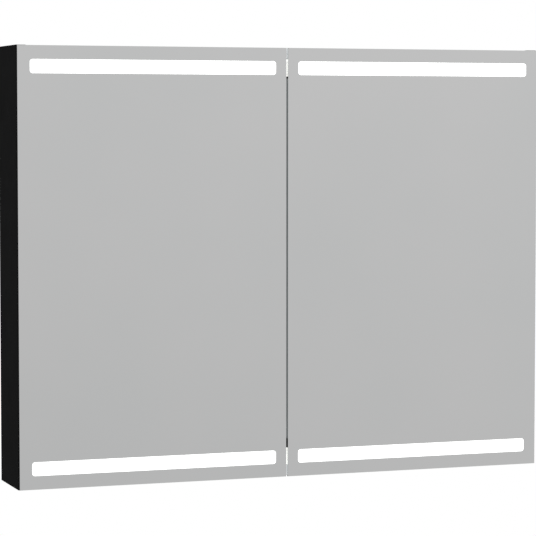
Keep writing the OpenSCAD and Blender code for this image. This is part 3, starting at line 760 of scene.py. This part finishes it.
for side in ("left", "right"):
    pane_piece("front_mirror_" + side, -1, holes=cut_outs("front_mirror_" + side))
    pane_piece("inner_mirror_" + side, 1)
    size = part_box("front_mirror_" + side)
    print("mirror", side, "mm:", [round(1000 * v, 1) for v in size[1] - size[0]])

# %% [markdown]
# ## The lit strips
# A lens is a stepped plate: its front part fills the cut-out, and a wider lip behind rests on
# the back of the pane, where it is bonded. Two rings make the front part and two the lip.

# %% Lenses
LENS_FIT_MM = 0.1


def lens_piece(node, pane):
    """The two lenses of one door."""
    shape = bmesh.new()
    lens_low, lens_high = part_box(node)
    pane_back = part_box(pane)[1].y
    fit = mm(LENS_FIT_MM)
    corner = mm(STRIP_CORNER_MM)
    for low, high in cut_outs(pane):
        lip = ((lens_high.x - lens_low.x) - (high.x - low.x)) / 2
        front = ring(shape, low, high, lens_low.y, radius=corner - fit, inset=fit)
        neck = ring(shape, low, high, pane_back, radius=corner - fit, inset=fit)
        step = ring(shape, low, high, pane_back, radius=corner + lip, inset=-lip)
        back = ring(shape, low, high, lens_high.y, radius=corner + lip, inset=-lip)
        lid(shape, front)
        wall(shape, front, neck)
        lid(shape, step, neck)
        wall(shape, step, back)
        lid(shape, back)
    bmesh.ops.recalc_face_normals(shape, faces=shape.faces)
    return stand_for(node, shape, [opal_lens])


for side in ("left", "right"):
    lens_piece("light_lenses_" + side, "front_mirror_" + side)

# %% [markdown]
# ## Glass shelves
# The same idea as the mirrors: flat faces are clear, and everything round the rim is the
# green polished edge.

# %% Shelves
CLEAR, GREEN = range(2)
SHELF_EASE_MM = 0.5
for level in ("upper", "lower"):
    for side in ("left", "right"):
        node = f"shelf_{level}_{side}"
        shape = welded_shape(node)
        ease_edges(shape, SHELF_EASE_MM)
        shape.normal_update()
        for face in shape.faces:
            face.material_index = CLEAR if abs(face.normal.z) > 0.99 else GREEN
        stand_for(node, shape, [shelf_face, shelf_edge])

# %% [markdown]
# ## Finding the screws
# The frame's screw nodes hold several screws each. Every screw is a separate lump of such a
# node, so walking along the edges from any corner collects one screw, and its box gives the
# place and the size of its head.

# %% Boxes of the lumps in a node


def lump_boxes(node):
    """The lowest and highest corner of each separate lump of a node."""
    shape = welded_shape(node)
    left = set(shape.verts)
    boxes = []
    while left:
        todo = [left.pop()]
        places = []
        while todo:
            vert = todo.pop()
            places.append(vert.co.copy())
            for edge in vert.link_edges:
                other = edge.other_vert(vert)
                if other in left:
                    left.remove(other)
                    todo.append(other)
        boxes.append(box_of(places))
    shape.free()
    return boxes


# %% [markdown]
# ## One screw
# A screw is recognised by the cross in its head and by its thread. The outline from tip to
# crown is turned round like a piece on a lathe, ring by ring, and a cross is sunk in the flat
# of the crown. A Boolean cut would do it too, but laying the crown out between the ring and
# the cross keeps the mesh clean. The thread is drawn as rings and not as a true helix, which
# nobody can tell at this size.

# %% Lathe a screw with a cross recess
HEAD_SIDES = 32
THREAD_PITCH_MM = 1.0
THREAD_ROOT = 0.82
CROSS_ARM = 0.52
CROSS_HALF_WIDTH = 0.12


def screw_outline(head_r, head_h, shaft_r, shaft_l):
    """Radius and height of each ring, from the tip to the flat of the crown."""
    rings = []
    if shaft_r:
        turns = int(shaft_l / mm(THREAD_PITCH_MM))
        for i in range(2 * turns + 1):
            share = 1.0 if i % 2 else THREAD_ROOT
            rings.append((share * shaft_r, (i / (2 * turns) - 1) * shaft_l))
    for wide, tall in ((1.0, 0.0), (1.0, 0.45), (0.94, 0.72), (0.82, 0.9), (0.66, 1.0)):
        rings.append((wide * head_r, tall * head_h))
    return rings


def add_screw(shape, base, way, head_r, head_h, shaft_r=0, shaft_l=0):
    """Adds a screw to a shape. base is the middle of the head's underside, way points out."""
    made = bmesh.new()
    rings = []
    for radius, height in screw_outline(head_r, head_h, shaft_r, shaft_l):
        turn = [2 * math.pi * i / HEAD_SIDES for i in range(HEAD_SIDES)]
        spots = [(radius * math.cos(a), radius * math.sin(a), height) for a in turn]
        rings.append([made.verts.new(spot) for spot in spots])
    for lower, upper in zip(rings, rings[1:]):
        for i in range(HEAD_SIDES):
            j = (i + 1) % HEAD_SIDES
            made.faces.new((lower[i], lower[j], upper[j], upper[i]))
    made.faces.new(rings[0])
    arm = CROSS_ARM * head_r
    half = CROSS_HALF_WIDTH * head_r
    quarter = [Vector((arm, -half, 0)), Vector((arm, half, 0)), Vector((half, half, 0))]
    outline = []
    for i in range(4):
        turned = Matrix.Rotation(i * math.pi / 2, 3, "Z")
        outline += [turned @ corner for corner in quarter]
    rim = [made.verts.new((p.x, p.y, head_h)) for p in outline]
    floor = [made.verts.new((0.8 * p.x, 0.8 * p.y, 0.4 * head_h)) for p in outline]
    for i in range(len(outline)):
        j = (i + 1) % len(outline)
        made.faces.new((rim[i], rim[j], floor[j], floor[i]))
    made.faces.new(floor)
    loops = []
    for loop in (rings[-1], rim):
        loops += [made.edges.get((loop[i], loop[i - 1])) for i in range(len(loop))]
    bmesh.ops.triangle_fill(made, use_beauty=True, use_dissolve=False, edges=loops)
    bmesh.ops.recalc_face_normals(made, faces=made.faces)
    made.transform(Matrix.Translation(base) @ way.to_track_quat("Z", "Y").to_matrix().to_4x4())
    mesh = bpy.data.meshes.new("screw")
    made.to_mesh(mesh)
    made.free()
    shape.from_mesh(mesh)
    bpy.data.meshes.remove(mesh)


# %% [markdown]
# ## All the screws
# Three kinds are in the cabinet: short ones through the hinge plates, small ones that hold
# the service covers, and the jack screws of the hangers, which set the cabinet level.

# %% Place the screws


def screws_of(node, head_h_mm, shaft_r_mm, way_at, finish):
    """Replaces a screw node. way_at(centre) is where a head points; radius 0 hides the shaft."""
    shape = bmesh.new()
    boxes = lump_boxes(node)
    for low, high in boxes:
        centre = (low + high) / 2
        way = way_at(centre)
        size = high - low
        length = abs(size.dot(way))
        head_r = max(size[i] for i in range(3) if abs(way[i]) < 0.5) / 2
        base = centre + way * (length / 2 - mm(head_h_mm))
        add_screw(
            shape, base, way, head_r, mm(head_h_mm), mm(shaft_r_mm), length - mm(head_h_mm)
        )
    stand_for(node, shape, [finish])
    print(node, len(boxes))


def toward_middle(centre):
    """From a side panel toward the middle of the cabinet."""
    return Vector((-1 if centre.x > 0 else 1, 0, 0))


def toward_shelves(centre):
    """From the top or the bottom toward the shelves."""
    return Vector((0, 0, -1 if centre.z > centre_z else 1))


def upward(centre):
    """The same way at every place."""
    return Vector((0, 0, 1))


screws_of("hinge_screws", 1.8, 0, toward_middle, nickel_plate)
screws_of("service_screws", 1.6, 1.5, toward_shelves, zinc_plate)
screws_of("hanger_screws", 2.5, 2.5, upward, zinc_plate)

# %% [markdown]
# ## Light boards
# Each board carries a row of chips. A chip is a white frame with a yellow phosphor window
# set slightly into it. The chips' faces are the outermost ones on the side of the board that
# has the least area, and insetting them makes frame and window in one step.

# %% Chips on the boards
BOARD, WINDOW = range(2)
CHIP_FRAME_MM = 0.6
CHIP_SINK_MM = 0.2
LEVEL_MM = 0.02
for node in ("top_led_strip", "bottom_led_strip"):
    low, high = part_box(node)
    thin = min(range(3), key=lambda i: high[i] - low[i])
    shape = welded_shape(node)
    shape.normal_update()
    sides = []
    for level in (low[thin], high[thin]):
        flat = []
        for face in shape.faces:
            if all(abs(vert.co[thin] - level) < mm(LEVEL_MM) for vert in face.verts):
                flat.append(face)
        sides.append(flat)
    chips = min(sides, key=lambda faces: sum(f.calc_area() for f in faces))
    bmesh.ops.inset_individual(
        shape, faces=chips, thickness=mm(CHIP_FRAME_MM), depth=-mm(CHIP_SINK_MM)
    )
    for face in chips:
        face.material_index = WINDOW
    stand_for(node, shape, [solder_mask, chip_phosphor])
    print(node, "chip faces:", len(chips))

# %% [markdown]
# ## The air
# A studio for a mirror is mostly about what the mirror sees. The air round the cabinet is a
# soft grey that gets lighter upward and a little to the right, because that is the picture
# the mirrors throw back. Behind the cabinet it falls away to dark, as a black flag does in a
# studio, so the side panel isn't washed out by a light wall. The camera itself sees plain
# white there. The grey is built from the direction's own X and Z, and the flag from its Y.

# %% The air
AIR_LEVEL = 0.54
AIR_RISE = 0.295
AIR_RIGHT = 0.083
FLAG_FROM = -0.1
FLAG_TO = 0.7
FLAG_DARKEST = 0.12
WHITE = (1, 1, 1, 1)

air = bpy.data.worlds.new("studio_air")
air.use_nodes = True
bpy.context.scene.world = air
tree = air.node_tree
tree.nodes.clear()
way = add_node(tree, "ShaderNodeTexCoord").outputs["Generated"]
parts = add_node(tree, "ShaderNodeSeparateXYZ", {"Vector": way})
rise = add_node(
    tree, "ShaderNodeMath", {0: parts.outputs["Z"], 1: AIR_RISE, 2: AIR_LEVEL},
    operation="MULTIPLY_ADD",
)
level = add_node(
    tree, "ShaderNodeMath", {0: parts.outputs["X"], 1: AIR_RIGHT, 2: rise.outputs[0]},
    operation="MULTIPLY_ADD",
)
flag_range = {"From Min": FLAG_FROM, "From Max": FLAG_TO, "To Min": 1.0, "To Max": FLAG_DARKEST}
flag = add_node(tree, "ShaderNodeMapRange", {"Value": parts.outputs["Y"], **flag_range})
soft = add_node(
    tree, "ShaderNodeMath", {0: level.outputs[0], 1: flag.outputs["Result"]},
    operation="MULTIPLY",
)
for_light = add_node(
    tree, "ShaderNodeBackground", {"Color": WHITE, "Strength": soft.outputs[0]}
)
for_camera = add_node(tree, "ShaderNodeBackground", {"Color": WHITE, "Strength": 1.0})
seen = add_node(tree, "ShaderNodeLightPath").outputs["Is Camera Ray"]
both = add_node(
    tree,
    "ShaderNodeMixShader",
    {0: seen, 1: for_light.outputs[0], 2: for_camera.outputs[0]},
)
add_node(tree, "ShaderNodeOutputWorld", {"Surface": both.outputs[0]})

# %% [markdown]
# ## Lamps
# Three big soft boxes shape the case and the hinges: one on each side in front, well out of
# what the mirrors show to the camera, and one behind for anyone who looks at the back. A
# large lamp makes soft shadows, and a sun lamp would make hard ones on the black panels.

# %% Soft boxes
middle = (cabinet_low + cabinet_high) / 2


def area_lamp(name, place, turn, width, height, power):
    """A rectangular lamp. Unturned, it shines straight down."""
    lamp = bpy.data.lights.new(name, "AREA")
    lamp.shape = "RECTANGLE"
    lamp.size = width
    lamp.size_y = height
    lamp.energy = power
    holder = bpy.data.objects.new(name, lamp)
    holder.location = place
    holder.rotation_euler = turn
    bpy.context.scene.collection.objects.link(holder)


def soft_box(name, place, size, power):
    """A square lamp aimed at the middle of the cabinet."""
    turn = (middle - Vector(place)).to_track_quat("-Z", "Y").to_euler()
    area_lamp(name, place, turn, size, size, power)


soft_box("key_lamp", (-2.6, -2.2, 2.2), 1.8, 26)
soft_box("fill_lamp", (2.8, -1.6, 1.6), 2.0, 14)
soft_box("rear_lamp", (0.5, 2.4, 1.9), 1.6, 34)

# %% [markdown]
# ## Light in the gaps
# Light from the boards bounces between the rails, the partition and the backs of the doors,
# and shows in the gap between the doors. Tracing those many bounces takes long, so a very
# weak lamp close in front of each slim part stands for them, as long and as high as the part.

# %% Spill on the rails and the edge band
RAIL_SPILL_WATTS = 0.036
RAIL_AHEAD_MM = 3
BAND_SPILL_WATTS = 0.0125
BAND_AHEAD_MM = 1


def spill_lamp(name, low, high, ahead_mm, power):
    """A lamp with the outline of a part, close in front of it and shining on it."""
    place = ((low[0] + high[0]) / 2, low[1] - mm(ahead_mm), (low[2] + high[2]) / 2)
    to_wall = (math.radians(90), 0, 0)
    area_lamp(name, place, to_wall, high[0] - low[0], high[2] - low[2], power)


for rail in ("top_rail", "bottom_rail"):
    spill_lamp(rail + "_spill", *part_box(rail), RAIL_AHEAD_MM, RAIL_SPILL_WATTS)
spill_lamp("band_spill", band_low, band_high, BAND_AHEAD_MM, BAND_SPILL_WATTS)
print("lamps:", len(bpy.data.lights))

# %% [markdown]
# ## Floor
# The floor is a wide pale disc, as far down as a washroom floor is below such a cabinet. It
# fades into the white air toward its rim, as a studio's curved backdrop does.

# %% Pale floor
FLOOR_DROP_MM = 1200
FLOOR_RADIUS = 2.4
FADE_FROM = 0.8
FADE_TO = 2.3

floor_centre = (middle.x, middle.y, cabinet_low.z - mm(FLOOR_DROP_MM))
floor_finish, tree, shader, place = new_finish("pale_floor", IOR=1.45, Specular_IOR_Level=0.2)
tone_between(tree, shader, noise(tree, place, 400), "#f0f0ef", "#f5f5f4")
gloss_between(tree, shader, noise(tree, place, 60), 0.7, 0.8)
away = add_node(tree, "ShaderNodeVectorMath", {0: place, 1: floor_centre}, operation="DISTANCE")
fade = gloss_between(tree, shader, away.outputs["Value"], 1.0, 0.0, socket="Alpha")
fade.inputs["From Min"].default_value = FADE_FROM
fade.inputs["From Max"].default_value = FADE_TO
fade.interpolation_type = "SMOOTHSTEP"

disc = bmesh.new()
bmesh.ops.create_circle(disc, cap_ends=True, radius=FLOOR_RADIUS, segments=96)
bmesh.ops.translate(disc, verts=disc.verts, vec=floor_centre)
floor_mesh = bpy.data.meshes.new("floor")
disc.to_mesh(floor_mesh)
disc.free()
floor_mesh.materials.append(floor_finish)
floor = bpy.data.objects.new("floor", floor_mesh)
bpy.context.scene.collection.objects.link(floor)

# %% [markdown]
# ## Camera
# A long lens from a few metres away keeps the cabinet's upright lines nearly parallel. It
# stands to the left of the cabinet, level with its upper half, and looks slightly down.

# %% Camera
SENSOR_MM = 36
LENS_MM = 158.42
CAMERA_LEFT_MM = 1323.5
CAMERA_AWAY_MM = 3614.1
CAMERA_UP_MM = 579.9
LOOK_DOWN = 3.510
LOOK_RIGHT = 19.647

lens = bpy.data.cameras.new("camera")
lens.sensor_width = SENSOR_MM
lens.lens = LENS_MM
lens.clip_end = 100
camera = bpy.data.objects.new("camera", lens)
camera.location = (
    middle.x - mm(CAMERA_LEFT_MM),
    cabinet_low.y - mm(CAMERA_AWAY_MM),
    cabinet_low.z + mm(CAMERA_UP_MM),
)
camera.rotation_euler = (math.radians(90 - LOOK_DOWN), 0, math.radians(-LOOK_RIGHT))
bpy.context.scene.collection.objects.link(camera)
bpy.context.scene.camera = camera
bpy.context.scene.view_settings.view_transform = "Standard"
print("camera, m:", [round(v, 3) for v in camera.location])
